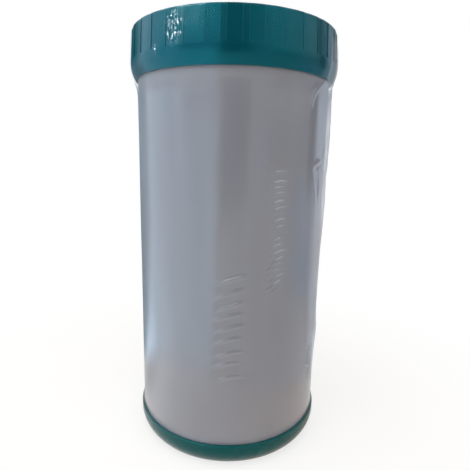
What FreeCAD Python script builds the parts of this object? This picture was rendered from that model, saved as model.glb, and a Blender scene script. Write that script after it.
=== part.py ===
import FreeCAD, Part
import math
import os
import re

import Sketcher
from FreeCAD import Placement, Rotation, Vector

# Anti-scale filter cartridge, standing on its foot, Z up, millimetres.
# A frosted tube holds a bed of softening beads between two slotted screens.
# A teal cap is snapped over each end. Water rises through the slots of the
# bottom cap, through the bed, and leaves by the gasketed bore in the top cap.
# A clear shrink film covers the whole, with its hems turned over both rims.

SIZES = {
    # Tube
    "tube_radius": 58.5,
    "tube_wall": 3.0,
    "tube_lead_in": 0.6,
    # Whole cartridge, from the foot to the rim of the top cap
    "body_height": 250.0,
    # Fit of both caps on the tube
    "cap_clearance": 0.3,
    "bead_rise": 0.5,
    "bead_half": 1.5,
    "snap_gap": 0.2,
    "seal_thickness": 1.6,
    "seal_inset": 0.2,
    # Outside of the top cap, as walls over the skirt's bore
    "cap_height": 27.2,
    "cap_wall": 3.6,
    "lip_wall": 1.2,
    "shoulder_height": 8.7,
    "band_flat": 0.8,
    "rim_draft": 1.0,
    "rim_round": 1.0,
    "grip_count": 36,
    "grip_width": 7.5,
    "grip_depth": 0.5,
    "cap_bead_height": 5.5,
    # Top face of the top cap
    "rim_width": 4.2,
    "panel_drop": 3.5,
    "panel_thickness": 3.2,
    "panel_draft": 0.6,
    "hub_wall": 3.2,
    "hub_drop": 0.8,
    "hub_draft": 0.4,
    "face_rib_count": 12,
    "face_rib_width": 2.0,
    "face_rib_drop": 1.0,
    # Outlet and its gasket
    "outlet_radius": 14.0,
    "collar_wall": 1.6,
    "gasket_width": 7.4,
    "gasket_height": 6.2,
    "gasket_round": 1.2,
    "gasket_clearance": 0.15,
    "gasket_seat_depth": 3.4,
    # Outside of the bottom cap
    "ring_height": 13.9,
    "ring_wall": 1.5,
    "ring_band": 3.7,
    "ring_round": 0.6,
    "ring_bead_drop": 2.6,
    "foot_inset": 3.7,
    "foot_relief": 1.2,
    "foot_land": 9.6,
    "rest_width": 2.6,
    # Inside of the bottom cap
    "grate_recess": 1.8,
    "grate_thickness": 2.6,
    "ledge_height": 7.2,
    "ledge_overlap": 2.2,
    # Slots of the bottom grate
    "slot_width": 3.0,
    "slot_margin": 2.5,
    "slot_bridge": 2.4,
    "inner_slot_count": 24,
    "outer_slot_count": 36,
    # Blind centring socket in the bottom cap
    "socket_radius": 14.0,
    "socket_wall": 3.0,
    "socket_roof": 1.8,
    # Screens, one moulding used at both ends
    "screen_clearance": 0.3,
    "screen_thickness": 2.5,
    "screen_rim_width": 2.0,
    "spacer_height": 3.0,
    "spacer_width": 1.6,
    "spacer_count": 12,
    "spacer_gap": 1.0,
    "sieve_slot_width": 1.2,
    "sieve_slot_count": 36,
    "sieve_bridge": 5.0,
    "sieve_margin": 2.0,
    "eye_slot_count": 12,
    "eye_slot_start": 6.0,
    "eye_slot_length": 9.0,
    # Filling
    "pad_thickness": 5.0,
    "foam_thickness": 15.0,
    # Shrink film
    "film_thickness": 0.3,
    "film_gap": 0.1,
    "film_drape": 9.0,
    "film_ring_drape": 3.0,
    "top_hem_reach": 9.1,
    "foot_hem_gap": 1.5,
    "pleat_count": 30,
    "pleat_width": 1.2,
    "pleat_rise": 0.5,
    "pleat_taper": 1.6,
    "pleat_margin": 0.5,
    # Creases pressed into the film, in two upright columns
    "crease_width": 1.6,
    "crease_rise": 0.35,
    "crease_span": 14.0,
    "upper_crease_turn": 26.0,
    "upper_crease_height": 112.0,
    "upper_crease_run": 62.0,
    "upper_crease_count": 11,
    "lower_crease_turn": 2.0,
    "lower_crease_height": 58.0,
    "lower_crease_run": 60.0,
    "lower_crease_count": 8,
}

# Levels and radii that several pieces share, worked out from the sizes
TUBE_BORE = "(tube_radius - tube_wall)"
SKIRT_BORE = "(tube_radius + cap_clearance)"
CAP_BASE = "(body_height - cap_height)"
CAP_RADIUS = f"({SKIRT_BORE} + cap_wall)"
LIP_RADIUS = f"({SKIRT_BORE} + lip_wall)"
RIM_RADIUS = f"({CAP_RADIUS} - rim_draft)"
RIM_BORE = f"({RIM_RADIUS} - rim_width)"
BAND_TOP = "(shoulder_height + band_flat)"
PANEL_TOP = "(cap_height - panel_drop)"
PANEL_UNDERSIDE = f"({PANEL_TOP} - panel_thickness)"
CEILING = f"({CAP_BASE} + {PANEL_UNDERSIDE})"
TUBE_HEAD = f"({CEILING} - seal_thickness)"
TUBE_FOOT = "(ledge_height + seal_thickness)"
HUB_TOP = "(cap_height - hub_drop)"
GASKET_SEAT = f"({HUB_TOP} - gasket_seat_depth)"
GASKET_BORE = "(outlet_radius + collar_wall + gasket_clearance)"
GASKET_RADIUS = f"({GASKET_BORE} + gasket_width)"
HUB_RADIUS = f"({GASKET_RADIUS} + gasket_clearance + hub_wall)"
RING_RADIUS = f"({SKIRT_BORE} + ring_wall)"
RING_SHOULDER = "(ring_height - ring_band)"
RING_BEAD = "(ring_height - ring_bead_drop)"
FOOT_RADIUS = f"({RING_RADIUS} - foot_inset)"
REST_RADIUS = f"({FOOT_RADIUS} - foot_land)"
REST_BORE = f"({REST_RADIUS} - rest_width)"
GRATE_TOP = "(grate_recess + grate_thickness)"
SOCKET_OUTSIDE = "(socket_radius + socket_wall)"
SOCKET_TOP = "(ledge_height + spacer_height)"
SLOT_START = f"({SOCKET_OUTSIDE} + slot_margin)"
SLOT_END = f"({REST_BORE} - slot_margin)"
SLOT_LENGTH = f"(({SLOT_END} - {SLOT_START} - slot_bridge) / 2)"
SCREEN_RADIUS = f"({TUBE_BORE} - screen_clearance)"
SCREEN_HEIGHT = "(screen_thickness + spacer_height)"
SCREEN_RIM_BORE = f"({SCREEN_RADIUS} - screen_rim_width)"
LEDGE_BORE = f"({SCREEN_RADIUS} - ledge_overlap)"
INLET_SCREEN_TOP = f"(ledge_height + {SCREEN_HEIGHT})"
OUTLET_SCREEN_FOOT = f"({CEILING} - {SCREEN_HEIGHT})"
BED_FOOT = f"({INLET_SCREEN_TOP} + pad_thickness)"
FOAM_FOOT = f"({OUTLET_SCREEN_FOOT} - pad_thickness - foam_thickness)"
FILM_SKIN = "(film_gap + film_thickness)"
TOP_HEM_RADIUS = f"({RIM_BORE} - top_hem_reach)"
FOOT_HEM_RADIUS = f"({REST_RADIUS} + foot_hem_gap)"

document = FreeCAD.newDocument("FilterCartridge")
sheet = document.addObject("Spreadsheet::Sheet", "Sizes")
for row, (alias, value) in enumerate(SIZES.items(), start=1):
    sheet.set(f"A{row}", alias.replace("_", " "))
    sheet.set(f"B{row}", str(value))
    sheet.setAlias(f"B{row}", alias)
document.recompute()


def bound(words):
    """The expression with every size named in full, as cells of the sheet."""
    return re.sub(r"[a-z_]+", lambda word: full_name(word.group()), words)


def full_name(word):
    """A size with the sheet's name before it, or a function's name as it is."""
    if word in SIZES:
        return f"{sheet.Name}.{word}"
    return word


def amount(words):
    """The number that an expression gives with the present sizes."""
    return float(sheet.evalExpression(bound(words)))


def arc_bend(half_chord, rise):
    """Radius of an arc with this half chord and this rise, as an expression."""
    return f"((({half_chord})^2 + ({rise})^2) / (2 * ({rise})))"


def new_body(label, base="0"):
    """An empty body whose own origin lies at height base over the foot."""
    body = document.addObject("PartDesign::Body", label)
    body.Label = label
    body.setExpression("Placement.Base.z", bound(base))
    return body


def origin_feature(body, role):
    """One of the body's own origin planes or axes."""
    return next(item for item in body.Origin.OriginFeatures if item.Role == role)


def new_sketch(body, name, plane, lift="0", turn="0"):
    """A sketch on an origin plane, lifted off it and turned in it."""
    sketch = body.newObject("Sketcher::SketchObject", name)
    sketch.AttachmentSupport = [(origin_feature(body, plane), "")]
    sketch.MapMode = "FlatFace"
    angle = amount(turn)
    sketch.AttachmentOffset = Placement(Vector(0, 0, amount(lift)), Rotation(Vector(0, 0, 1), angle))
    sketch.setExpression("AttachmentOffset.Base.z", bound(lift))
    if angle:
        sketch.setExpression("AttachmentOffset.Rotation.Angle", bound(turn))
    return sketch


def limit(sketch, kind, where, words, name):
    """One size of the sketch, bound to the sheet."""
    index = sketch.addConstraint(Sketcher.Constraint(kind, *where, amount(words)))
    sketch.renameConstraint(index, name)
    sketch.setExpression(f"Constraints.{name}", bound(words))


def add_arc(sketch, start, stop, radius, clockwise):
    """The short arc between two points; returns its edge and end numbers."""
    chord = stop - start
    side = Vector(-chord.y, chord.x, 0).normalize()
    rise = math.sqrt(radius**2 - (chord.Length / 2) ** 2)
    centre = (start + stop) / 2 + side * (-rise if clockwise else rise)
    first, last = (stop, start) if clockwise else (start, stop)
    begin = math.atan2(first.y - centre.y, first.x - centre.x)
    end = math.atan2(last.y - centre.y, last.x - centre.x)
    if end < begin:
        end += 2 * math.pi
    circle = Part.Circle(centre, Vector(0, 0, 1), radius)
    edge = sketch.addGeometry(Part.ArcOfCircle(circle, begin, end), False)
    return (edge, 2, 1) if clockwise else (edge, 1, 2)


def outline(sketch, corners):
    """A closed outline, fully bound to the sheet.

    Each corner is (across, up), or (across, up, bend, way) where an arc of
    radius bend leads to the next corner, way being "left" or "right".
    """
    points = [Vector(amount(corner[0]), amount(corner[1]), 0) for corner in corners]
    edges = []
    for index, corner in enumerate(corners):
        start = points[index]
        stop = points[(index + 1) % len(points)]
        if len(corner) == 2:
            edge = sketch.addGeometry(Part.LineSegment(start, stop), False)
            edges.append((edge, 1, 2))
        else:
            edges.append(add_arc(sketch, start, stop, amount(corner[2]), corner[3] == "right"))
    for (edge, _, last), (next_edge, next_first, _) in zip(edges, edges[1:] + edges[:1]):
        sketch.addConstraint(Sketcher.Constraint("Coincident", edge, last, next_edge, next_first))
    for index, ((edge, first, _), corner) in enumerate(zip(edges, corners)):
        origin_to_corner = (-1, 1, edge, first)
        limit(sketch, "DistanceX", origin_to_corner, corner[0], f"across_{index}")
        limit(sketch, "DistanceY", origin_to_corner, corner[1], f"up_{index}")
        if len(corner) == 4:
            limit(sketch, "Radius", (edge,), corner[2], f"bend_{index}")


def turned(body, name, corners):
    """A solid of revolution about Z; corners are (radius, height)."""
    sketch = new_sketch(body, f"{name}_outline", "XZ_Plane")
    outline(sketch, corners)
    revolution = body.newObject("PartDesign::Revolution", name)
    revolution.Profile = sketch
    revolution.ReferenceAxis = (sketch, ["V_Axis"])
    revolution.Angle = 360
    document.recompute()
    return revolution


def around(body, feature, count):
    """The feature repeated evenly about Z, count times."""
    pattern = body.newObject("PartDesign::PolarPattern", f"{feature.Name}_ring")
    pattern.Originals = [feature]
    pattern.Axis = (origin_feature(body, "Z_Axis"), [""])
    pattern.Angle = 360
    pattern.setExpression("Occurrences", bound(count))
    body.Tip = pattern
    document.recompute()
    return pattern


def radial_bar(start, end, width):
    """Corners of a bar along X from one radius to another."""
    return (
        (start, f"-{width} / 2"),
        (end, f"-{width} / 2"),
        (end, f"{width} / 2"),
        (start, f"{width} / 2"),
    )


def radial_ribs(body, name, base, height, start, end, width, count):
    """Upright ribs that run outwards like spokes."""
    sketch = new_sketch(body, f"{name}_outline", "XY_Plane", lift=base)
    outline(sketch, radial_bar(start, end, width))
    rib = body.newObject("PartDesign::Pad", name)
    rib.Profile = sketch
    rib.setExpression("Length", bound(height))
    document.recompute()
    around(body, rib, count)


def radial_slots(body, name, base, depth, start, end, width, count):
    """Slots cut upwards from base, halfway between the spokes."""
    volume = body.Shape.Volume
    sketch = new_sketch(body, f"{name}_outline", "XY_Plane", lift=base, turn=f"180 / {count}")
    outline(sketch, radial_bar(start, end, width))
    slot = body.newObject("PartDesign::Pocket", name)
    slot.Profile = sketch
    slot.Reversed = True
    slot.setExpression("Length", bound(depth))
    document.recompute()
    around(body, slot, count)
    if body.Shape.Volume >= volume:
        raise RuntimeError(f"{name} cuts nothing from {body.Label}")


def flat_ring(label, base, bore, radius, thickness):
    """A flat ring with a square section."""
    ring = new_body(label, base)
    corners = (
        (bore, "0"),
        (radius, "0"),
        (radius, thickness),
        (bore, thickness),
    )
    turned(ring, f"{label}_ring", corners)
    return ring


def disc(label, base, thickness):
    """A plain round filling that stands in the tube."""
    cylinder = document.addObject("Part::Cylinder", label)
    cylinder.Label = label
    cylinder.setExpression("Radius", bound(SCREEN_RADIUS))
    cylinder.setExpression("Height", bound(thickness))
    cylinder.setExpression("Placement.Base.z", bound(base))
    return cylinder


# Body tube: a straight tube with one snap bead near each end
def body_tube():
    tube = new_body("body_tube", TUBE_FOOT)
    length = f"({TUBE_HEAD} - {TUBE_FOOT})"
    low_bead = f"({RING_BEAD} - {TUBE_FOOT})"
    high_bead = f"({CAP_BASE} + cap_bead_height - {TUBE_FOOT})"
    bend = arc_bend("bead_half", "bead_rise")
    corners = (
        (TUBE_BORE, "0"),
        ("tube_radius - tube_lead_in", "0"),
        ("tube_radius", "tube_lead_in"),
        ("tube_radius", f"{low_bead} - bead_half", bend, "left"),
        ("tube_radius", f"{low_bead} + bead_half"),
        ("tube_radius", f"{high_bead} - bead_half", bend, "left"),
        ("tube_radius", f"{high_bead} + bead_half"),
        ("tube_radius", f"{length} - tube_lead_in"),
        ("tube_radius - tube_lead_in", length),
        (TUBE_BORE, length),
    )
    turned(tube, "tube_wall_round", corners)
    return tube


# Snap groove in a cap's skirt, as three corners that run downwards
def snap_groove(height):
    groove_half = "(bead_half + snap_gap)"
    groove_depth = "(bead_rise + snap_gap - cap_clearance)"
    return (
        (SKIRT_BORE, f"{height} + {groove_half}", arc_bend(groove_half, groove_depth), "right"),
        (SKIRT_BORE, f"{height} - {groove_half}"),
    )


# Top cap: rounded skirt, plain band, grip recesses, ribbed face and outlet hub
def top_cap():
    cap = new_body("top_cap", CAP_BASE)
    seat_radius = f"({GASKET_RADIUS} + gasket_clearance)"
    collar_radius = "(outlet_radius + collar_wall)"
    corners = (
        (SKIRT_BORE, "0"),
        (LIP_RADIUS, "0", shoulder_bend(), "left"),
        (CAP_RADIUS, "shoulder_height"),
        (CAP_RADIUS, BAND_TOP),
        (RIM_RADIUS, "cap_height - rim_round", "rim_round", "left"),
        (f"{RIM_RADIUS} - rim_round", "cap_height"),
        (RIM_BORE, "cap_height"),
        (f"{RIM_BORE} - panel_draft", PANEL_TOP),
        (HUB_RADIUS, PANEL_TOP),
        (f"{HUB_RADIUS} - hub_draft", HUB_TOP),
        (seat_radius, HUB_TOP),
        (seat_radius, GASKET_SEAT),
        (collar_radius, GASKET_SEAT),
        (collar_radius, HUB_TOP),
        ("outlet_radius", HUB_TOP),
        ("outlet_radius", PANEL_UNDERSIDE),
        (SKIRT_BORE, PANEL_UNDERSIDE),
        *snap_groove("cap_bead_height"),
    )
    turned(cap, "cap_shell", corners)
    grip_recesses(cap)
    radial_ribs(
        cap,
        "face_rib",
        base=PANEL_UNDERSIDE,
        height="panel_drop + panel_thickness - face_rib_drop",
        start=f"{HUB_RADIUS} - hub_draft",
        end=RIM_BORE,
        width="face_rib_width",
        count="face_rib_count",
    )
    return cap


def shoulder_bend():
    """Radius of the arc from the cap's lip out to its widest line."""
    return arc_bend("shoulder_height", "cap_wall - lip_wall")


# Grip recesses: shallow flats cut into the cap above its band, open at the rim
def grip_recesses(cap):
    beyond = f"({CAP_RADIUS} + 2 * grip_depth)"
    above = "(cap_height + rim_round)"
    corners = (
        (f"{CAP_RADIUS} - grip_depth", BAND_TOP),
        (beyond, BAND_TOP),
        (beyond, above),
        (f"{RIM_RADIUS} - grip_depth", above),
    )
    volume = cap.Shape.Volume
    sketch = new_sketch(cap, "grip_outline", "XZ_Plane")
    outline(sketch, corners)
    grip = cap.newObject("PartDesign::Pocket", "grip")
    grip.Profile = sketch
    grip.SideType = "Symmetric"
    grip.setExpression("Length", bound("grip_width"))
    document.recompute()
    around(cap, grip, "grip_count")
    if cap.Shape.Volume >= volume:
        raise RuntimeError("the grip recesses cut nothing")


# Bottom cap: rounded ring, foot, slotted grate and a blind centring socket
def bottom_cap():
    cap = new_body("bottom_cap")
    corners = (
        (REST_BORE, "0"),
        (REST_RADIUS, "0"),
        (REST_RADIUS, "foot_relief"),
        (FOOT_RADIUS, "foot_relief", foot_bend(), "left"),
        (RING_RADIUS, RING_SHOULDER),
        (RING_RADIUS, "ring_height - ring_round", "ring_round", "left"),
        (f"{RING_RADIUS} - ring_round", "ring_height"),
        (SKIRT_BORE, "ring_height"),
        *snap_groove(RING_BEAD),
        (SKIRT_BORE, "ledge_height"),
        (LEDGE_BORE, "ledge_height"),
        (LEDGE_BORE, GRATE_TOP),
        (SOCKET_OUTSIDE, GRATE_TOP),
        (SOCKET_OUTSIDE, SOCKET_TOP),
        ("0", SOCKET_TOP),
        ("0", f"{SOCKET_TOP} - socket_roof"),
        ("socket_radius", f"{SOCKET_TOP} - socket_roof"),
        ("socket_radius", "foot_relief"),
        (SOCKET_OUTSIDE, "foot_relief"),
        (SOCKET_OUTSIDE, "grate_recess"),
        (REST_BORE, "grate_recess"),
    )
    turned(cap, "ring_shell", corners)
    rows = (
        ("inner_slot", SLOT_START, f"{SLOT_START} + {SLOT_LENGTH}"),
        ("outer_slot", f"{SLOT_END} - {SLOT_LENGTH}", SLOT_END),
    )
    for name, start, end in rows:
        radial_slots(
            cap,
            name,
            base="grate_recess",
            depth="grate_thickness",
            start=start,
            end=end,
            width="slot_width",
            count=f"{name}_count",
        )
    return cap


def foot_bend():
    """Radius of the arc from the foot out to the ring's widest line."""
    return arc_bend(f"{RING_SHOULDER} - foot_relief", "foot_inset")


# Slotted screen: a disc with a rim and spokes that hold it off the cap
def screen(label, base, upside_down):
    plate = new_body(label, base)
    if upside_down:
        plate.Placement.Rotation = Rotation(Vector(1, 0, 0), 180)
    corners = (
        ("0", "0"),
        (SCREEN_RADIUS, "0"),
        (SCREEN_RADIUS, SCREEN_HEIGHT),
        (SCREEN_RIM_BORE, SCREEN_HEIGHT),
        (SCREEN_RIM_BORE, "screen_thickness"),
        ("0", "screen_thickness"),
    )
    turned(plate, f"{label}_disc", corners)
    eye_end = "(eye_slot_start + eye_slot_length)"
    rows = (
        ("sieve_slot", f"{eye_end} + sieve_bridge", f"{SCREEN_RIM_BORE} - sieve_margin"),
        ("eye_slot", "eye_slot_start", eye_end),
    )
    for name, start, end in rows:
        radial_slots(
            plate,
            f"{label}_{name}",
            base="0",
            depth="screen_thickness",
            start=start,
            end=end,
            width="sieve_slot_width",
            count=f"{name}_count",
        )
    radial_ribs(
        plate,
        f"{label}_spacer",
        base="0",
        height=SCREEN_HEIGHT,
        start=f"{SOCKET_OUTSIDE} + spacer_gap",
        end=f"{SCREEN_RADIUS} - screen_rim_width / 2",
        width="spacer_width",
        count="spacer_count",
    )
    return plate


# Outlet gasket: a thick rubber ring with a rounded sealing face
def outlet_gasket():
    gasket = new_body("outlet_gasket", f"{CAP_BASE} + {GASKET_SEAT}")
    corners = (
        (GASKET_BORE, "0"),
        (GASKET_RADIUS, "0"),
        (GASKET_RADIUS, "gasket_height - gasket_round", "gasket_round", "left"),
        (f"{GASKET_RADIUS} - gasket_round", "gasket_height"),
        (f"{GASKET_BORE} + gasket_round", "gasket_height", "gasket_round", "left"),
        (GASKET_BORE, "gasket_height - gasket_round"),
    )
    turned(gasket, "gasket_ring", corners)
    return gasket


# Shrink film: one thin skin from the top hem over both caps to the foot hem
def shrink_film():
    film = new_body("shrink_film")
    band_top = f"({CAP_BASE} + {BAND_TOP})"
    shoulder = f"({CAP_BASE} + shoulder_height)"
    rim_side = "(body_height - rim_round - film_gap)"
    ring_side = "(ring_height - ring_round)"
    outside = (
        (f"{FOOT_RADIUS} + {FILM_SKIN}", "foot_relief", foot_bend(), "left"),
        (f"{RING_RADIUS} + {FILM_SKIN}", RING_SHOULDER),
        (f"{RING_RADIUS} + {FILM_SKIN}", ring_side),
        (f"tube_radius + {FILM_SKIN}", "ring_height + film_ring_drape"),
        (f"tube_radius + {FILM_SKIN}", f"{CAP_BASE} - film_drape"),
        (f"{LIP_RADIUS} + {FILM_SKIN}", CAP_BASE, shoulder_bend(), "left"),
        (f"{CAP_RADIUS} + {FILM_SKIN}", shoulder),
        (f"{CAP_RADIUS} + {FILM_SKIN}", band_top),
        (f"{RIM_RADIUS} + {FILM_SKIN}", rim_side, f"rim_round + {FILM_SKIN}", "left"),
        (f"{RIM_RADIUS} - rim_round", "body_height + film_thickness"),
        (TOP_HEM_RADIUS, "body_height + film_thickness"),
    )
    inside = (
        (TOP_HEM_RADIUS, "body_height"),
        (f"{RIM_RADIUS} - rim_round", "body_height", "rim_round + film_gap", "right"),
        (f"{RIM_RADIUS} + film_gap", rim_side),
        (f"{CAP_RADIUS} + film_gap", band_top),
        (f"{CAP_RADIUS} + film_gap", shoulder, shoulder_bend(), "right"),
        (f"{LIP_RADIUS} + film_gap", CAP_BASE),
        ("tube_radius + film_gap", f"{CAP_BASE} - film_drape"),
        ("tube_radius + film_gap", "ring_height + film_ring_drape"),
        (f"{RING_RADIUS} + film_gap", ring_side),
        (f"{RING_RADIUS} + film_gap", RING_SHOULDER, foot_bend(), "right"),
        (f"{FOOT_RADIUS} + film_gap", "foot_relief"),
    )
    foot_hem = (
        (FOOT_HEM_RADIUS, "foot_relief"),
        (FOOT_HEM_RADIUS, "foot_relief - film_thickness"),
        (f"{FOOT_RADIUS} + film_gap", "foot_relief - film_thickness"),
    )
    turned(film, "film_skin", (*outside, *inside, *foot_hem))
    creases(film, "upper_crease")
    creases(film, "lower_crease")
    top_middle = "(body_height + film_thickness / 2)"
    foot_middle = "(foot_relief - film_thickness / 2)"
    pleats(film, "top_pleat", top_middle, "+", TOP_HEM_RADIUS, f"{RIM_RADIUS} - rim_round")
    pleats(film, "foot_pleat", foot_middle, "-", FOOT_HEM_RADIUS, FOOT_RADIUS)
    return film


def pleats(film, name, middle, way, hem, edge):
    """Radial gathers where the shrunk hem lies flat; way is + for up and - for down."""
    crest = f"{middle} {way} (film_thickness / 2 + pleat_rise)"
    start = f"({hem} + pleat_margin)"
    end = f"({edge} - pleat_margin)"
    corners = (
        (start, middle),
        (end, middle),
        (f"{end} - pleat_taper", crest),
        (f"{start} + pleat_taper", crest),
    )
    sketch = new_sketch(film, f"{name}_outline", "XZ_Plane")
    outline(sketch, corners)
    pleat = film.newObject("PartDesign::Pad", name)
    pleat.Profile = sketch
    pleat.SideType = "Symmetric"
    pleat.setExpression("Length", bound("pleat_width"))
    document.recompute()
    around(film, pleat, "pleat_count")


def creases(film, name):
    """A column of short level creases that stand out of the film on the tube."""
    surface = "(tube_radius + film_gap + film_thickness / 2)"
    foot = f"{name}_height"
    corners = (
        (surface, foot),
        (f"{surface} + film_thickness / 2 + crease_rise", f"{foot} + crease_width / 2"),
        (surface, f"{foot} + crease_width"),
    )
    sketch = new_sketch(film, f"{name}_outline", "XZ_Plane")
    sketch.AttachmentOffset = Placement(Vector(), Rotation(Vector(0, 1, 0), amount(f"{name}_turn - 90")))
    sketch.setExpression("AttachmentOffset.Rotation.Angle", bound(f"{name}_turn - 90"))
    outline(sketch, corners)
    crease = film.newObject("PartDesign::Revolution", name)
    crease.Profile = sketch
    crease.ReferenceAxis = (sketch, ["V_Axis"])
    crease.Midplane = True
    crease.setExpression("Angle", bound("crease_span"))
    document.recompute()
    column = film.newObject("PartDesign::LinearPattern", f"{name}_column")
    column.Originals = [crease]
    column.Direction = (origin_feature(film, "Z_Axis"), [""])
    column.setExpression("Length", bound(f"{name}_run"))
    column.setExpression("Occurrences", bound(f"{name}_count"))
    film.Tip = column
    document.recompute()


def build_pieces():
    """Every real piece of the cartridge, each in an object of its own."""
    seal_bore = TUBE_BORE
    seal_radius = "tube_radius - seal_inset"
    return (
        body_tube(),
        top_cap(),
        bottom_cap(),
        screen("outlet_screen", OUTLET_SCREEN_FOOT, upside_down=False),
        screen("inlet_screen", INLET_SCREEN_TOP, upside_down=True),
        flat_ring("upper_seal", TUBE_HEAD, seal_bore, seal_radius, "seal_thickness"),
        flat_ring("lower_seal", "ledge_height", seal_bore, seal_radius, "seal_thickness"),
        outlet_gasket(),
        disc("inlet_pad", INLET_SCREEN_TOP, "pad_thickness"),
        disc("media_bed", BED_FOOT, f"{FOAM_FOOT} - {BED_FOOT}"),
        disc("expansion_pad", FOAM_FOOT, "foam_thickness"),
        disc("outlet_pad", f"{FOAM_FOOT} + foam_thickness", "pad_thickness"),
        shrink_film(),
    )


def check_objects():
    """Stop if any object of the document failed to build."""
    for item in document.Objects:
        if {"Invalid", "Error"} & set(item.State):
            raise RuntimeError(f"{item.Name} did not build: {item.State}")


def write_pieces(pieces):
    """Write each piece as one STEP file named after it."""
    os.makedirs("parts", exist_ok=True)
    for piece in pieces:
        if piece.Shape.isNull() or not piece.Shape.isValid():
            raise RuntimeError(f"{piece.Label} has no valid shape")
    for piece in pieces:
        box = piece.Shape.optimalBoundingBox(True, False)
        piece.Shape.exportStep(f"parts/{piece.Label}.step")
        print(f"{piece.Label}: {box.XLength:.1f} wide, {box.ZMin:.2f} to {box.ZMax:.2f} high")


pieces = build_pieces()
document.recompute()
check_objects()
write_pieces(pieces)
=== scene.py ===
# %% [markdown]
# # Anti-scale filter cartridge in its clear shrink film
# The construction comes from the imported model: a frosted tube, two teal caps, a rubber gasket and
# the filling, all as fixed pieces at their real size. This lesson gives them their finishes, makes
# the shrink film as a real surface with its folds and creases, and lights the whole in a small studio.

# %% Load the frame
import bpy
import math
import numpy as np
from mathutils import Matrix, Vector


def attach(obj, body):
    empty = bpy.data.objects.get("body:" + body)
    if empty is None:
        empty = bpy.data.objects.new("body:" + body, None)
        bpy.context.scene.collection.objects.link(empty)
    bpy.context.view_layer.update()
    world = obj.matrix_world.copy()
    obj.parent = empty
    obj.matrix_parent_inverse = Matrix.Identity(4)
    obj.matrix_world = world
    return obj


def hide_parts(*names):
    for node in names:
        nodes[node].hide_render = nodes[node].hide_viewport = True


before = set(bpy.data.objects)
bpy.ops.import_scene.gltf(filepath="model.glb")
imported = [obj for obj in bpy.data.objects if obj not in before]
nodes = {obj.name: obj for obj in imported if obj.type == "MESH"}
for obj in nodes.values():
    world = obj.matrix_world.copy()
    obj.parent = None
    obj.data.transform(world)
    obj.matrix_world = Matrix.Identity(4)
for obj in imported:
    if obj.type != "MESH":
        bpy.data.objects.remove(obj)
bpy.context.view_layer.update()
print("nodes:", ", ".join(sorted(nodes)))

# %% [markdown]
# ## The camera
# The photograph was taken from close by, a little above the middle of the cartridge, looking slightly
# down, so the sides lean towards each other at the foot. A lens can't be guessed by eye for that.
# The camera here was fitted to the outline of the two caps and the tube: distance, height, pitch, and
# a small roll. Its three axes are worked out from those angles and set as columns of its matrix.

# %% Camera
CAMERA_PLACE = (0.0, -0.262, 0.1786)
PITCH, YAW, ROLL = 0.192, 0.011, 0.022
FOCAL_PIXELS, PICTURE_PIXELS, SENSOR = 395.3, 470, 36.0


def camera_matrix(place, pitch, yaw, roll):
    """Matrix whose columns are right, up and back: yaw about Z, then pitch down, then roll about the view."""
    forward = Vector((math.cos(pitch) * math.sin(yaw), math.cos(pitch) * math.cos(yaw), -math.sin(pitch)))
    level = Vector((math.cos(yaw), -math.sin(yaw), 0))
    upright = Vector((math.sin(pitch) * math.sin(yaw), math.sin(pitch) * math.cos(yaw), math.cos(pitch)))
    right = math.cos(roll) * level + math.sin(roll) * upright
    up = -math.sin(roll) * level + math.cos(roll) * upright
    matrix = Matrix((right, up, -forward)).transposed().to_4x4()
    matrix.translation = Vector(place)
    return matrix


camera_data = bpy.data.cameras.new("camera")
camera = bpy.data.objects.new("camera", camera_data)
bpy.context.scene.collection.objects.link(camera)
camera_data.sensor_fit = "HORIZONTAL"
camera_data.sensor_width = SENSOR
camera_data.lens = FOCAL_PIXELS * SENSOR / PICTURE_PIXELS
camera_data.clip_start = 0.01
camera.matrix_world = camera_matrix(CAMERA_PLACE, PITCH, YAW, ROLL)
bpy.context.scene.camera = camera
bpy.context.scene.view_settings.view_transform = "Standard"
print("lens", round(camera_data.lens, 2), "mm")

# %% [markdown]
# ## Node helpers
# Every finish below is a small network of shader nodes. A few helpers keep the cells short: one starts
# an empty material with its output, one adds a node and fills its inputs, where a value is set on
# the socket and a socket is linked to it, and the others add the kinds of node that come up often.

# %% Helpers for shader nodes
def add(tree, kind, settings=None, **inputs):
    """A node of that kind. Settings are its options; inputs are values or sockets, by name or as n and a place."""
    node = tree.nodes.new(kind)
    for option, value in (settings or {}).items():
        setattr(node, option, value)
    for name, value in inputs.items():
        by_place = name[0] == "n" and name[1:].isdigit()
        socket = node.inputs[int(name[1:]) if by_place else name.replace("_", " ")]
        if isinstance(value, bpy.types.NodeSocket):
            tree.links.new(value, socket)
        else:
            socket.default_value = value
    return node


def new_material(name):
    """A node material with nothing in it but its output."""
    material = bpy.data.materials.new(name)
    material.use_nodes = True
    material.node_tree.nodes.clear()
    output = material.node_tree.nodes.new("ShaderNodeOutputMaterial")
    return material, material.node_tree, output


def math_node(tree, operation, first, second=0.0):
    """A Math node's result."""
    return add(tree, "ShaderNodeMath", {"operation": operation}, n0=first, n1=second).outputs[0]


def vector_math(tree, operation, output="Vector", **inputs):
    """A Vector Math node's result."""
    return add(tree, "ShaderNodeVectorMath", {"operation": operation}, **inputs).outputs[output]


def blend_colors(tree, factor, first, second, how="MIX"):
    """The colour between two colours by a factor, or their product with the factor as its strength."""
    settings = {"data_type": "RGBA", "blend_type": how}
    return add(tree, "ShaderNodeMix", settings, n0=factor, n6=first, n7=second).outputs[2]


def map_range(tree, value, first, last, to_first=0.0, to_last=1.0, kind="LINEAR"):
    """The value carried from the range first to last into the range to_first to to_last, and kept inside it."""
    return add(tree, "ShaderNodeMapRange", {"interpolation_type": kind}, Value=value, From_Min=first, From_Max=last,
               To_Min=to_first, To_Max=to_last).outputs[0]


def mix_shaders(tree, share, first, second):
    """The first shader, replaced by the second by a share."""
    return add(tree, "ShaderNodeMixShader", None, n0=share, n1=first, n2=second).outputs[0]


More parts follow.
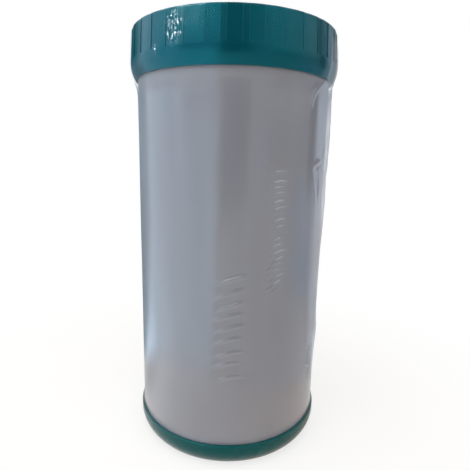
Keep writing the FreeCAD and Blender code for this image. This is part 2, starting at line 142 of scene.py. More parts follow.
def object_place(tree):
    """The point's place in the object's own coordinates, in metres."""
    return add(tree, "ShaderNodeTexCoord").outputs["Object"]


def new_group(name, inputs, outputs):
    """A shader node group with those named sockets, its tree, and its group input and output nodes."""
    group = bpy.data.node_groups.new(name, "ShaderNodeTree")
    for label, kind, value in inputs:
        socket = group.interface.new_socket(label, in_out="INPUT", socket_type=kind)
        if value is not None:
            socket.default_value = value
    for label, kind in outputs:
        group.interface.new_socket(label, in_out="OUTPUT", socket_type=kind)
    return group, group.nodes.new("NodeGroupInput"), group.nodes.new("NodeGroupOutput")


def place_group(tree, group, **inputs):
    """A group placed in a material, with its own values."""
    return add(tree, "ShaderNodeGroup", {"node_tree": group}, **inputs)


# %% [markdown]
# ## Effects that several finishes share
# Moulded plastic is never one flat colour: the melt flows in faint clouds, its skin has a very fine
# pebble, and its edges are paler: partly wear from rubbing in the carton, partly a painted highlight
# that also lightens the shaded walls of the teal caps' grip flutes. Fibres give felt and foam their
# look. Each of these is a node group, so that a material only chooses its scale and strength.

# %% Group: clouds in the melt
cloud_group, group_in, group_out = new_group(
    "melt_clouds",
    [("Scale", "NodeSocketFloat", 30.0), ("Stretch", "NodeSocketFloat", 0.5), ("Low", "NodeSocketFloat", 0.9),
     ("High", "NodeSocketFloat", 1.1), ("Color", "NodeSocketColor", (0.5, 0.5, 0.5, 1))],
    [("Color", "NodeSocketColor")])
stretch = add(cloud_group, "ShaderNodeCombineXYZ", None, X=1.0, Y=1.0, Z=group_in.outputs["Stretch"]).outputs[0]
drawn = vector_math(cloud_group, "MULTIPLY", n0=object_place(cloud_group), n1=stretch)
noise = add(cloud_group, "ShaderNodeTexNoise", None, Vector=drawn, Scale=group_in.outputs["Scale"], Detail=4.0,
            Roughness=0.55).outputs[0]
level = map_range(cloud_group, noise, 0.3, 0.7, group_in.outputs["Low"], group_in.outputs["High"])
grey = add(cloud_group, "ShaderNodeCombineColor", None, Red=level, Green=level, Blue=level).outputs[0]
tinted = blend_colors(cloud_group, 1.0, group_in.outputs["Color"], grey, "MULTIPLY")
cloud_group.links.new(tinted, group_out.inputs["Color"])
print("group:", cloud_group.name)

# %% Group: moulded skin
skin_group, group_in, group_out = new_group(
    "moulded_skin",
    [("Scale", "NodeSocketFloat", 2200.0), ("Strength", "NodeSocketFloat", 0.1),
     ("Roughness", "NodeSocketFloat", 0.3), ("Spread", "NodeSocketFloat", 0.1)],
    [("Normal", "NodeSocketVector"), ("Roughness", "NodeSocketFloat")])
place = object_place(skin_group)
pebble = add(skin_group, "ShaderNodeTexNoise", None, Vector=place, Scale=group_in.outputs["Scale"],
             Detail=2.0).outputs[0]
sheen = add(skin_group, "ShaderNodeTexNoise", None, Vector=place, Scale=45.0, Detail=5.0, Roughness=0.6).outputs[0]
bump = add(skin_group, "ShaderNodeBump", None, Height=pebble, Strength=group_in.outputs["Strength"], Distance=0.0002)
swing = math_node(skin_group, "MULTIPLY", math_node(skin_group, "SUBTRACT", sheen, 0.5), group_in.outputs["Spread"])
rough = math_node(skin_group, "ADD", swing, group_in.outputs["Roughness"])
skin_group.links.new(bump.outputs[0], group_out.inputs["Normal"])
skin_group.links.new(rough, group_out.inputs["Roughness"])
print("group:", skin_group.name)

# %% Group: rubbed edges with painted edge highlights
wear_and_highlight_group, group_in, group_out = new_group(
    "rubbed_and_highlit_edges",
    [("Radius", "NodeSocketFloat", 0.0006), ("Amount", "NodeSocketFloat", 0.3)],
    [("Mask", "NodeSocketFloat")])
rounded = add(wear_and_highlight_group, "ShaderNodeBevel", {"samples": 4}, Radius=group_in.outputs["Radius"]).outputs[0]
straight = add(wear_and_highlight_group, "ShaderNodeNewGeometry").outputs["Normal"]
bend = vector_math(wear_and_highlight_group, "DOT_PRODUCT", "Value", n0=rounded, n1=straight)
edge = map_range(wear_and_highlight_group, bend, 0.995, 0.9)
wear_and_highlight_group.links.new(math_node(wear_and_highlight_group, "MULTIPLY", edge, group_in.outputs["Amount"]), group_out.inputs["Mask"])
print("group:", wear_and_highlight_group.name)

# %% Group: tangled fibres
fibre_group, group_in, group_out = new_group(
    "tangled_fibres",
    [("Scale", "NodeSocketFloat", 900.0), ("Depth", "NodeSocketFloat", 0.6)],
    [("Mask", "NodeSocketFloat"), ("Normal", "NodeSocketVector")])
warped = add(fibre_group, "ShaderNodeTexNoise", None, Vector=object_place(fibre_group),
             Scale=group_in.outputs["Scale"], Detail=3.0, Distortion=2.5).outputs[0]
ridge = math_node(fibre_group, "ABSOLUTE", math_node(fibre_group, "SUBTRACT", warped, 0.5))
strand = map_range(fibre_group, ridge, 0.0, 0.12, 1.0, 0.0)
bump = add(fibre_group, "ShaderNodeBump", None, Height=strand, Strength=group_in.outputs["Depth"], Distance=0.0003)
fibre_group.links.new(strand, group_out.inputs["Mask"])
fibre_group.links.new(bump.outputs[0], group_out.inputs["Normal"])
print("group:", fibre_group.name)

# %% [markdown]
# ## Teal caps
# Both caps are moulded from teal polypropylene. Its colour sits in the plastic, so it is deep and
# saturated, and the skin is smooth enough to show soft reflections. A plain white gloss would wash that
# depth out, so the Principled shader's specular tint keeps the plastic's own reflections teal, and the
# clear film over it adds the white ones.

# %% Finish: teal plastic
def moulded_plastic(name, color, worn_and_highlit, roughness, specular, tint=(1, 1, 1, 1), clouds=(26.0, 0.5, 0.93, 1.07)):
    """Plastic with clouds in its colour (scale, stretch, low, high), paler edges that are wear and painted highlight,
    and a pebbled skin.
    """
    material, tree, output = new_material(name)
    scale, stretch, low, high = clouds
    melt = place_group(tree, cloud_group, Scale=scale, Stretch=stretch, Low=low, High=high, Color=color)
    edges = place_group(tree, wear_and_highlight_group, Radius=0.0004, Amount=0.4)
    skin = place_group(tree, skin_group, Scale=1800.0, Strength=0.08, Roughness=roughness, Spread=0.14)
    tone = blend_colors(tree, edges.outputs["Mask"], melt.outputs["Color"], worn_and_highlit)
    shader = add(tree, "ShaderNodeBsdfPrincipled", None, Base_Color=tone, Roughness=skin.outputs["Roughness"],
                 Normal=skin.outputs["Normal"], Specular_IOR_Level=specular, Specular_Tint=tint)
    tree.links.new(shader.outputs[0], output.inputs["Surface"])
    return material


# Both teal caps: the paler edge colour is partly wear and partly a painted highlight. It lines the edges of the grip
# flutes and ledges and lightens their shaded walls.
teal_plastic = moulded_plastic("teal_polypropylene", color=(0.001, 0.049, 0.064, 1), worn_and_highlit=(0.03, 0.21, 0.25, 1),
                               roughness=0.20, specular=0.80, tint=(0.04, 0.82, 1.0, 1))
teal_foot = moulded_plastic("teal_polypropylene_foot", color=(0.003, 0.058, 0.058, 1), worn_and_highlit=(0.03, 0.19, 0.20, 1),
                            roughness=0.26, specular=0.36, tint=(0.05, 0.72, 0.76, 1))
print("materials:", teal_plastic.name, teal_foot.name)

# %% [markdown]
# ## Frosted tube
# The tube is natural polypropylene, milky and slightly see-through, so light sinks in and comes out
# softened. Real transparency would show the flat bed behind it; a pale grey with broad clouds, long
# faint streaks along the tube and a little subsurface light reads as the same thing from any side.

# %% Finish: frosted plastic
frosted_plastic, tree, output = new_material("frosted_polypropylene")
broad = place_group(tree, cloud_group, Scale=17.0, Stretch=0.45, Low=0.96, High=1.04,
                    Color=(0.235, 0.240, 0.270, 1))
streaks = place_group(tree, cloud_group, Scale=90.0, Stretch=0.06, Low=0.975, High=1.025,
                      Color=broad.outputs["Color"])
skin = place_group(tree, skin_group, Scale=1500.0, Strength=0.06, Roughness=0.5, Spread=0.1)
shader = add(tree, "ShaderNodeBsdfPrincipled", None, Base_Color=streaks.outputs["Color"],
             Roughness=skin.outputs["Roughness"], Normal=skin.outputs["Normal"], Specular_IOR_Level=0.3,
             Subsurface_Weight=0.25, Subsurface_Scale=0.002)
shader.inputs["Subsurface Radius"].default_value = (1.0, 0.9, 0.8)
tree.links.new(shader.outputs[0], output.inputs["Surface"])
print("material:", frosted_plastic.name)

# %% [markdown]
# ## Rubber, white plastic, felt, foam and beads
# These show only through the outlet, through the slots, or when the cartridge is taken apart, yet each
# has its own finish: satin black rubber, the caps' plastic left white, needled felt and foam from the
# fibre group, and a bed of round beads from a cell pattern whose cell centres stand proud.

# %% Finishes: rubber and white plastic
white_plastic = moulded_plastic("white_polypropylene", color=(0.72, 0.72, 0.69, 1), worn_and_highlit=(0.82, 0.82, 0.8, 1),
                                roughness=0.4, specular=0.4)
black_rubber = moulded_plastic("black_rubber", color=(0.016, 0.016, 0.018, 1), worn_and_highlit=(0.05, 0.05, 0.052, 1),
                               roughness=0.55, specular=0.4, clouds=(60.0, 1.0, 0.85, 1.15))
print("materials:", white_plastic.name, black_rubber.name)


# %% Finishes: felt and foam
def fibre_material(name, dark, light, scale):
    """Matted fibres: a dark ground, light strands, and bump from the same pattern."""
    material, tree, output = new_material(name)
    fibres = place_group(tree, fibre_group, Scale=scale, Depth=0.7)
    tone = blend_colors(tree, fibres.outputs["Mask"], dark, light)
    shader = add(tree, "ShaderNodeBsdfPrincipled", None, Base_Color=tone, Roughness=0.95,
                 Normal=fibres.outputs["Normal"], Specular_IOR_Level=0.1)
    tree.links.new(shader.outputs[0], output.inputs["Surface"])
    return material


white_felt = fibre_material("needled_felt", dark=(0.45, 0.44, 0.41, 1), light=(0.78, 0.77, 0.73, 1), scale=700.0)
soft_foam = fibre_material("open_cell_foam", dark=(0.04, 0.045, 0.05, 1), light=(0.13, 0.14, 0.15, 1), scale=1100.0)
print("materials:", white_felt.name, soft_foam.name)

# %% Finish: bead bed
amber_beads, tree, output = new_material("amber_beads")
beads = add(tree, "ShaderNodeTexVoronoi", {"feature": "F1"}, Vector=object_place(tree), Scale=1300.0)
dome = map_range(tree, beads.outputs["Distance"], 0.0, 0.6, 1.0, 0.0)
# Painted shading: each bead is lightest at its centre and darkens towards the gaps between beads.
tone = blend_colors(tree, dome, (0.10, 0.045, 0.01, 1), (0.45, 0.24, 0.06, 1))
bump = add(tree, "ShaderNodeBump", None, Height=dome, Strength=0.8, Distance=0.0004)
shader = add(tree, "ShaderNodeBsdfPrincipled", None, Base_Color=tone, Roughness=0.25, Normal=bump.outputs[0])
tree.links.new(shader.outputs[0], output.inputs["Surface"])
print("material:", amber_beads.name)

# %% Finishes onto the nodes
FINISHES = {
    "body_tube": frosted_plastic, "top_cap": teal_plastic, "bottom_cap": teal_foot,
    "outlet_screen": white_plastic, "inlet_screen": white_plastic,
    "upper_seal": black_rubber, "lower_seal": black_rubber, "outlet_gasket": black_rubber,
    "inlet_pad": white_felt, "outlet_pad": white_felt, "expansion_pad": soft_foam, "media_bed": amber_beads,
}
for name, material in FINISHES.items():
    nodes[name].data.materials.clear()
    nodes[name].data.materials.append(material)
print("finished nodes:", len(FINISHES))

# %% [markdown]
# ## The shape of the shrink film
# The film is a sleeve that was pulled over the cartridge and shrunk with hot air. It grips the caps,
# drapes from the wide top cap to the thinner tube, clings to the tube in most places, and stays loose
# along the sleeve's two side seams, where a flat strip of film stands off the tube. Its two hems turn
# over the rims and stop short of the middle. One surface does all this: a profile in radius and height,
# carried round the axis, with the radius raised or lowered by functions of angle and height. Rows and
# columns lie closer together where the folds are fine.

# %% Film: the profile in radius and height
PROFILE = np.array([
    (47.6, 249.6), (50.5, 249.7), (54.0, 249.95), (57.0, 250.25), (59.6, 250.5), (60.9, 250.45), (61.6, 249.9),
    (61.9, 249.0), (62.15, 245.5), (62.6, 240.0), (62.95, 234.5), (63.05, 231.8), (62.7, 228.6), (62.0, 225.8),
    (61.15, 222.9), (60.1, 220.2), (59.3, 217.4), (58.95, 214.5), (58.8, 210.0), (58.75, 195.0), (58.75, 180.0),
    (58.8, 150.0), (58.85, 100.0), (58.85, 52.0), (58.85, 24.0), (58.95, 17.5), (59.5, 15.4), (60.35, 14.3),
    (60.75, 13.0), (60.75, 10.0), (60.1, 7.6), (58.9, 4.2), (57.9, 1.9), (57.1, 0.75), (55.6, 0.45), (53.0, 0.5),
    (50.6, 0.6), (48.6, 0.7),
]) / 1000.0
ROW_HEIGHTS = [0.000, 0.012, 0.030, 0.040, 0.060, 0.170, 0.180, 0.190, 0.216, 0.224, 0.249]
ROW_STEPS = [0.0013, 0.0013, 0.0020, 0.0010, 0.00052, 0.00052, 0.0009, 0.0022, 0.0013, 0.0009, 0.0009]
HEM_STEP, HEM_START = 0.0013, 0.0575


def profile_rows(points, steps):
    """Rows along a polyline: each stretch is cut into its own number of steps, measured by its length."""
    parts = [np.linspace(a, b, n, endpoint=False) for a, b, n in zip(points[:-1], points[1:], steps)]
    return np.vstack(parts + [points[-1:]])


lengths = np.linalg.norm(np.diff(PROFILE, axis=0), axis=1)
middle = (PROFILE[:-1, 1] + PROFILE[1:, 1]) / 2
fine = np.where(PROFILE[:-1, 0] < HEM_START, HEM_STEP, np.interp(middle, ROW_HEIGHTS, ROW_STEPS))
rows = profile_rows(PROFILE, np.maximum(1, np.round(lengths / fine)).astype(int))
print("film rows:", len(rows))


# %% Film: columns round the axis
def crowded_angles(count, centre, crowd):
    """Angles once round, closer together about one angle: the step is scaled by one plus crowd times a cosine."""
    even = np.linspace(-np.pi, np.pi, count, endpoint=False)
    return even - crowd * np.sin(even) + centre


COLUMNS, CROWDED_DEGREE, CROWDING = 274, 10.0, 0.42
turn = crowded_angles(COLUMNS, math.radians(CROWDED_DEGREE), CROWDING)
print("film columns:", COLUMNS, "finest step", round(math.degrees(np.diff(np.sort(turn)).min()), 2), "degrees")

# %% [markdown]
# Smooth random waves make film look like film. Instead of a stored picture they are sums of sine waves
# of angle and height with fixed phases, so they close without a seam once round and give the same
# surface at each run.


# %% Film: smooth waves
def waves(angle, height, seed, around_range, up_range, count=14):
    """Sum of sines: whole numbers of waves round the axis, any number per metre of height, rarely beyond 1."""
    source = np.random.default_rng(seed)
    around = source.integers(around_range[0], around_range[1] + 1, count)
    up = source.uniform(up_range[0], up_range[1], count) * source.choice([-1, 1], count)
    phase = source.uniform(0, 2 * np.pi, count)
    total = sum(np.sin(a * angle + 2 * np.pi * u * height + p) for a, u, p in zip(around, up, phase))
    return total / (0.5 * count)


def bump_at(value, centre, width):
    """A bell of height one about a centre."""
    return np.exp(-(((value - centre) / width) ** 2))


def step_at(value, start, width):
    """Smooth step from nothing below start to one above it."""
    return 0.5 + 0.5 * np.tanh((value - start) / width)


def between(value, start, start_width, end, end_width):
    """One from start to end and nothing outside: a smooth step up times a smooth step down."""
    return step_at(value, start, start_width) * (1 - step_at(value, end, end_width))


def wrap(angle):
    """The same angle between minus and plus half a turn."""
    return (angle + np.pi) % (2 * np.pi) - np.pi


# %% [markdown]
# A side seam stands off the tube like a tent: film pulled straight between a raised ridge
# and the line where it first touches the tube. For a ridge of radius p at angle q and a tube of radius
# r, that line lies at an angle acos(r / p) from the ridge, and the film's radius between the two is
# r / cos(distance from the line). The ridge is highest just under the top cap and dies out downwards.
# In the tables below heights and radii are in millimetres and angles in degrees.

# %% Film: the loose seam
def tent(angle, ridge_angle, ridge_radius, tube_radius):
    """Radius of film stretched straight from a ridge to the tube on both sides, and tube_radius elsewhere."""
    half = np.arccos(np.clip(tube_radius / ridge_radius, -1, 1))
    away = half - np.abs(wrap(angle - ridge_angle))
    return np.where(away > 0, tube_radius / np.cos(np.clip(away, 0, 1.2)), tube_radius)


angle, row_radius = np.meshgrid(turn, rows[:, 0])
_, height = np.meshgrid(turn, rows[:, 1])
degree = np.degrees(wrap(angle))
millimetre = height * 1000
on_tube = between(millimetre, 20, 3, 222, 2.5)

SEAM_DEGREE, BACK_SEAM_DEGREE = 72.0, -112.0
SEAM_HEIGHTS = [0, 14, 30, 44, 58, 66, 74, 84, 101, 128, 154, 168, 176, 186, 202, 216, 222, 251]
SEAM_RADII = [58.9, 58.9, 58.95, 59.1, 59.6, 60.1, 60.4, 59.9, 59.6, 60.1, 60.5, 60.2, 60.8, 60.9, 61.0, 61.2, 61.6,
              62.2]
BACK_SEAM_HEIGHTS = [0, 20, 60, 120, 190, 222, 251]
BACK_SEAM_RADII = [58.9, 59.1, 59.6, 59.5, 60.4, 61.2, 61.5]
seam_radius = np.interp(millimetre, SEAM_HEIGHTS, SEAM_RADII) / 1000
seam_angle = np.radians(SEAM_DEGREE + 2.5 * np.sin(millimetre / 21.0) + 1.5 * np.sin(millimetre / 7.3))
back_radius = np.interp(millimetre, BACK_SEAM_HEIGHTS, BACK_SEAM_RADII) / 1000
back_angle = np.radians(BACK_SEAM_DEGREE + 2.0 * np.sin(millimetre / 17.0))
loose = np.maximum(tent(angle, seam_angle, seam_radius, row_radius), tent(angle, back_angle, back_radius, row_radius))
radius = row_radius + (loose - row_radius) * on_tube
print("loosest film:", round(float((radius - row_radius).max()) * 1000, 2), "mm")

# %% [markdown]
# Creases are where a hot sleeve buckled as it shrank: two upright columns of short folds in the front,
# each a narrow rounded ridge, nearly level or tilted, and no two of them alike. Around them run the
# broad, faint waves of any shrink film. Heights here are in millimetres and angles in degrees.

# %% Film: creases and waves
def crease_column(first, last, count, centre, half_span, tilts, rise, width, growth, fading=0.0, fading_below=0.0):
    """Sum of rounded ridges from height first to last: each runs along a tilted, slightly bowed line.

    Tilts are those of the lowest and the highest. Growth makes lower ridges taller, and fading takes that
    share off the ridges below a height.
    """
    total = np.zeros_like(degree)
    source = np.random.default_rng(int(first))
    for number in range(count):
        share = number / (count - 1)
        level = first + (last - first) * share + source.uniform(-0.9, 0.9)
        middle = centre + source.uniform(-1.2, 1.2)
        span = half_span * source.uniform(0.75, 1.15)
        tilt = tilts[0] + (tilts[1] - tilts[0]) * share
        across = (degree - middle) / span
        line = level + tilt * across - across**2 * np.sign(tilt)
        kept = 1 - fading + fading * step_at(level, fading_below, 3)
        height_share = source.uniform(0.75, 1.1) * (1 + growth * (1 - share)) * kept
        total += rise * height_share * bump_at(millimetre, line, width) * np.exp(-(across**4))
    return total


radius += crease_column(first=108, last=171, count=19, centre=26.0, half_span=5.5, tilts=(2.8, 0.1), rise=0.00084,
                        width=0.80, growth=0.30)
radius += crease_column(first=58, last=115, count=9, centre=1.0, half_span=8.0, tilts=(1.2, 3.0), rise=0.00096,
                        width=1.0, growth=0.3, fading=0.40, fading_below=82.0)
BROAD_WAVE, FINE_WAVE, DEEPEST = 0.00010, 0.000035, 0.00008
slack = waves(angle, height, 3, (2, 11), (0, 9)) * BROAD_WAVE + waves(angle, height, 5, (8, 40), (2, 30)) * FINE_WAVE
radius += np.maximum(slack, -DEEPEST) * on_tube

# %% [markdown]
# The loose seam has folds of its own: a kink where it was pressed in, with a lip above it, a V of sharp
# folds that meet at the kink, the line where the film leaves the tube under the cap, and a crumpled patch
# lower down. A fold is a bell across a slanting line, times a bell or a smooth step that ends it.

# %% Film: kink, V folds and crinkle on the loose seam
KINK_HEIGHT, KINK_DEGREE, CRUMPLE_HEIGHT = 174.0, 57.0, 53.0
from_kink = degree - KINK_DEGREE
radius -= 0.0004 * bump_at(millimetre, KINK_HEIGHT + 0.25 * from_kink, 2.4) * bump_at(degree, 57.5, 4.0)
radius += 0.0008 * bump_at(millimetre, 177.6 + 0.35 * from_kink, 1.7) * bump_at(degree, 58, 4.0)
for rise, foot_degree, foot_height, lean, width, centre, reach in (
        (0.0006, 52.0, 166, -0.30, 0.9, 162, 7), (0.0006, 59.0, 172, -0.10, 0.9, 162, 8),
        (0.0005, 61.0, KINK_HEIGHT, 0.42, 1.0, 182, 7)):
    fold_line = foot_degree + (millimetre - foot_height) * lean
    radius += rise * bump_at(degree, fold_line, width) * bump_at(millimetre, centre, reach)
leave_line = 45 + 12 * np.clip((millimetre - 207) / 14, 0, 1.2) ** 2
radius += 0.0006 * bump_at(degree, leave_line, 1.1) * between(millimetre, 206, 2.5, 221, 1.5)
seam_zone = bump_at(degree, 62, 11) * on_tube
crumple = waves(angle, height, 11, (30, 90), (40, 160), 18)
radius += 0.00070 * crumple * bump_at(degree, 61, 6.0) * bump_at(millimetre, CRUMPLE_HEIGHT, 10)
radius += 0.00010 * crumple * seam_zone * bump_at(millimetre, 170, 12)

# %% [markdown]
# Over the caps the film had to get narrower to turn in: it puckers along the upper rim, with three deeper
# tucks, and gathers at the foot, where it only ever stands outwards.

# %% Film: puckers on the caps and gathers at the foot
PUCKER_RISE, TUCK_RISE, GATHER_RISE = 0.00020, 0.00035, 0.0007
near_rim = step_at(millimetre, 243, 3)
radius += PUCKER_RISE * waves(angle, height, 17, (16, 60), (0, 30), 16) * near_rim
tucks = bump_at(degree, -43, 2.0) + bump_at(degree, -27, 1.6) + 0.8 * bump_at(degree, 34, 2.4)
radius += TUCK_RISE * tucks * near_rim
near_foot = 1 - step_at(millimetre, 9.5, 2.5)
radius += GATHER_RISE * np.abs(waves(angle, height, 23, (9, 34), (0, 4), 12)) * near_foot
print("film radius:", round(float(radius.min()) * 1000, 1), "to", round(float(radius.max()) * 1000, 1), "mm")

# %% [markdown]
# The hems aren't cut to a circle: they were drawn in by the heat, so their edges wander, and they
# ripple up and down between the pleats. The last rows of the grid therefore get a wave in radius and
# height, fading out before the rim. Three numbers go with each point, for the film's finish: how tightly
# it clings, how crinkled it is, and where its tiny creases glitter.

# %% Film: the hems
PLEATS = 30
HEM_BEND, HEM_WIDTH, FOOT_BEND, FOOT_WIDTH = 0.0596, 0.0120, 0.0571, 0.0085
WANDER, TOP_RIPPLE, FOOT_RIPPLE = 0.0011, 0.00028, 0.0002
hem_share = np.clip((HEM_BEND - row_radius) / HEM_WIDTH, 0, 1) * (millimetre > 200)
foot_share = np.clip((FOOT_BEND - row_radius) / FOOT_WIDTH, 0, 1) * (millimetre < 100)
flat = np.zeros_like(height)
pleats = np.sin(PLEATS * angle + 1.4 * waves(angle, flat, 31, (2, 9), (0, 0.1)))
radius += WANDER * waves(angle, flat, 37, (3, 14), (0, 0.1)) * (hem_share**2 + 0.6 * foot_share**2)
lift = height + TOP_RIPPLE * pleats * hem_share**0.5 + FOOT_RIPPLE * (0.6 + 0.4 * pleats) * foot_share


# %% Film: the mesh
def grid_mesh(name, x, y, z, attributes):
    """A mesh from rows by columns of points, closed once round, with one number a point for each attribute."""
    count_rows, count_columns = x.shape
    index = np.arange(count_rows * count_columns).reshape(count_rows, count_columns)
    right = np.roll(index, -1, axis=1)
    quads = np.stack([index[1:], right[1:], right[:-1], index[:-1]], axis=-1).reshape(-1, 4)
    mesh = bpy.data.meshes.new(name)
    mesh.from_pydata(np.stack([x, y, z], axis=-1).reshape(-1, 3).tolist(), [], quads.tolist())
    mesh.polygons.foreach_set("use_smooth", np.ones(len(quads), bool))
    for label, values in attributes.items():
        layer = mesh.attributes.new(label, "FLOAT", "POINT")
        layer.data.foreach_set("value", values.astype(np.float32).ravel())
    mesh.update()
    return mesh


CAP_FOOT, RING_TOP = 221, 15.5
beside_seam = between(degree, 56.5, 0.8, 112, 6)
cling = step_at(millimetre, CAP_FOOT, 1.0) * (1 - 0.55 * beside_seam * (1 - near_rim))
cling += 1 - step_at(millimetre, RING_TOP, 1.0)
cling += 0.5 * between(millimetre, 213, 2.0, CAP_FOOT, 1.0) * (1 - step_at(degree, 44, 3))
crinkle = 0.8 * bump_at(degree, 62, 7.0) * bump_at(millimetre, CRUMPLE_HEIGHT, 13)
crinkle += 0.12 * seam_zone * bump_at(millimetre, 168, 16)
glitter = bump_at(degree, -28.5, 3.6) * bump_at(millimetre, 240.5, 6.5)
glitter += bump_at(degree, -40, 1.2) * bump_at(millimetre, 231.5, 2.2)
finish_masks = {"cling": cling, "crinkle": crinkle, "glitter": 1.7 * glitter}
film_mesh = grid_mesh("film", radius * np.sin(angle), -radius * np.cos(angle), lift,
                      {label: np.clip(mask, 0, 1) for label, mask in finish_masks.items()})
film = bpy.data.objects.new("clear_film_sleeve", film_mesh)
bpy.context.scene.collection.objects.link(film)
print("film triangles:", 2 * len(film_mesh.polygons))

# %% [markdown]
# ## Clear film
# Shrink film is thin and clear, so nearly all one sees of it is what it mirrors: little when looked at
# square on, a lot at a glancing angle. A Transparent shader is mixed with a glossy one by Fresnel. Where
# the film clings tight to the smooth caps it mirrors less, and where it is crinkled its normals break up.
# Two small patches on the top cap glitter: there the normals of random cells lean out of true, and about
# four cells in ten mirror strongly. Fresnel takes a back face as the inside of solid plastic, which would
# shut the light in, so the index of refraction is turned over there: thin film lets light out as easily
# as in.

# %% Group: film ripples
ripple_group, group_in, group_out = new_group(
    "film_ripples",
    [("Crinkle", "NodeSocketFloat", 0.0), ("Strength", "NodeSocketFloat", 0.2)],
    [("Normal", "NodeSocketVector")])
place = object_place(ripple_group)
long_waves = add(ripple_group, "ShaderNodeMapping", None, Vector=place, Scale=(1.0, 1.0, 0.25)).outputs[0]
broad = add(ripple_group, "ShaderNodeTexNoise", None, Vector=long_waves, Scale=60.0, Detail=1.0,
            Roughness=0.3).outputs[0]
small = add(ripple_group, "ShaderNodeTexVoronoi", {"feature": "DISTANCE_TO_EDGE"}, Vector=place,
            Scale=420.0).outputs["Distance"]
folds = add(ripple_group, "ShaderNodeBump", None, Height=math_node(ripple_group, "MINIMUM", small, 0.3),
            Strength=group_in.outputs["Crinkle"], Distance=0.0020)
bump = add(ripple_group, "ShaderNodeBump", None, Height=broad, Strength=group_in.outputs["Strength"], Distance=0.0008,
           Normal=folds.outputs[0])
ripple_group.links.new(bump.outputs[0], group_out.inputs["Normal"])
print("group:", ripple_group.name)

# %% Finish: clear film
FILM_IOR, LOOSE_GLOSS, CLING_LOSS, CRINKLE_GAIN, GLITTER_GAIN, MOST_GLOSS = 1.5, 1.75, 1.60, 1.2, 1.8, 0.85
clear_film, tree, output = new_material("clear_film")
clings, crinkled, glitters = (add(tree, "ShaderNodeAttribute", {"attribute_name": label}).outputs["Fac"]
                              for label in ("cling", "crinkle", "glitter"))
ripples = place_group(tree, ripple_group, Crinkle=crinkled, Strength=0.15).outputs[0]
upright = add(tree, "ShaderNodeMapping", None, Vector=object_place(tree), Scale=(1.0, 1.0, 0.5)).outputs[0]
flakes = add(tree, "ShaderNodeTexVoronoi", {"feature": "F1"}, Vector=upright, Scale=1700.0).outputs["Color"]
chosen = map_range(tree, add(tree, "ShaderNodeSeparateColor", None, Color=flakes).outputs["Blue"], 0.60, 0.65)
centred = vector_math(tree, "SUBTRACT", n0=flakes, n1=(0.5, 0.5, 0.5))
tilt = vector_math(tree, "SCALE", n0=centred, Scale=math_node(tree, "MULTIPLY", glitters, 0.9))
facets = vector_math(tree, "NORMALIZE", n0=vector_math(tree, "ADD", n0=ripples, n1=tilt))
backward = add(tree, "ShaderNodeNewGeometry").outputs["Backfacing"]
both_sides = map_range(tree, backward, 0.0, 1.0, FILM_IOR, 1 / FILM_IOR)
fresnel = add(tree, "ShaderNodeFresnel", None, IOR=both_sides, Normal=facets).outputs[0]
plain = math_node(tree, "SUBTRACT", LOOSE_GLOSS, math_node(tree, "MULTIPLY", clings, CLING_LOSS))
glint = math_node(tree, "MULTIPLY", math_node(tree, "MULTIPLY", glitters, chosen), GLITTER_GAIN)
broken = math_node(tree, "ADD", math_node(tree, "MULTIPLY", crinkled, CRINKLE_GAIN), glint)
gloss = math_node(tree, "MULTIPLY", fresnel, math_node(tree, "ADD", plain, broken))
share = add(tree, "ShaderNodeClamp", None, Value=gloss, Max=MOST_GLOSS).outputs[0]
mirror = add(tree, "ShaderNodeBsdfGlossy", None, Color=(0.96, 0.98, 1.0, 1), Roughness=0.13, Normal=facets).outputs[0]
clear = add(tree, "ShaderNodeBsdfTransparent").outputs[0]
tree.links.new(mix_shaders(tree, share, clear, mirror), output.inputs["Surface"])
film_mesh.materials.append(clear_film)
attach(film, "root")
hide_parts("shrink_film")
print("material:", clear_film.name)

# %% [markdown]
# ## The studio
# A white floor and a white surround, a broad cool window light from the left, a weak warm fill from the
# right, soft light from above and a little from behind. The floor and the world are plain white to the
# camera, at a strength of one, while the lamps do the lighting; near the cartridge the floor keeps its
# soft shadow. In mirrors the floor is brighter and cooler on the window's side, warmer on the other, and
# dim behind the cartridge. From below it is clear, so that the underside can be looked at.

# %% World
world = bpy.data.worlds.new("studio")
bpy.context.scene.world = world
world.use_nodes = True
tree = world.node_tree
tree.nodes.clear()
path = add(tree, "ShaderNodeLightPath").outputs
mirrored = math_node(tree, "MAXIMUM", path["Is Glossy Ray"], path["Is Transmission Ray"])
seen = math_node(tree, "MAXIMUM", path["Is Camera Ray"], mirrored)
white = add(tree, "ShaderNodeBackground", None, Color=(1, 1, 1, 1), Strength=1.0).outputs[0]
ambient = add(tree, "ShaderNodeBackground", None, Color=(0.96, 0.98, 1.0, 1), Strength=0.31).outputs[0]
tree.links.new(mix_shaders(tree, seen, ambient, white), add(tree, "ShaderNodeOutputWorld").inputs["Surface"])
print("world:", world.name)

# %% Floor
FLOOR_HALF, FLOOR_LEVEL = 6, -0.0002
floor_mesh = bpy.data.meshes.new("floor")
corners = [(x * FLOOR_HALF, y * FLOOR_HALF, FLOOR_LEVEL) for x, y in ((-1, -1), (1, -1), (1, 1), (-1, 1))]
floor_mesh.from_pydata(corners, [], [(0, 1, 2, 3)])
floor = bpy.data.objects.new("floor", floor_mesh)
bpy.context.scene.collection.objects.link(floor)
floor_paper, tree, output = new_material("floor_paper")
path = add(tree, "ShaderNodeLightPath").outputs
place = object_place(tree)
axes = add(tree, "ShaderNodeSeparateXYZ", None, Vector=place).outputs
away = vector_math(tree, "LENGTH", "Value", n0=place)
shadow_share = map_range(tree, away, 0.09, 0.30, 0.24, 0.0, "SMOOTHSTEP")
paper = add(tree, "ShaderNodeBsdfDiffuse", None, Color=(0.88, 0.84, 0.78, 1)).outputs[0]
white = add(tree, "ShaderNodeEmission", None, Color=(1, 1, 1, 1), Strength=1.0).outputs[0]
warm_side = map_range(tree, axes["X"], -0.14, 0.10, kind="SMOOTHSTEP")
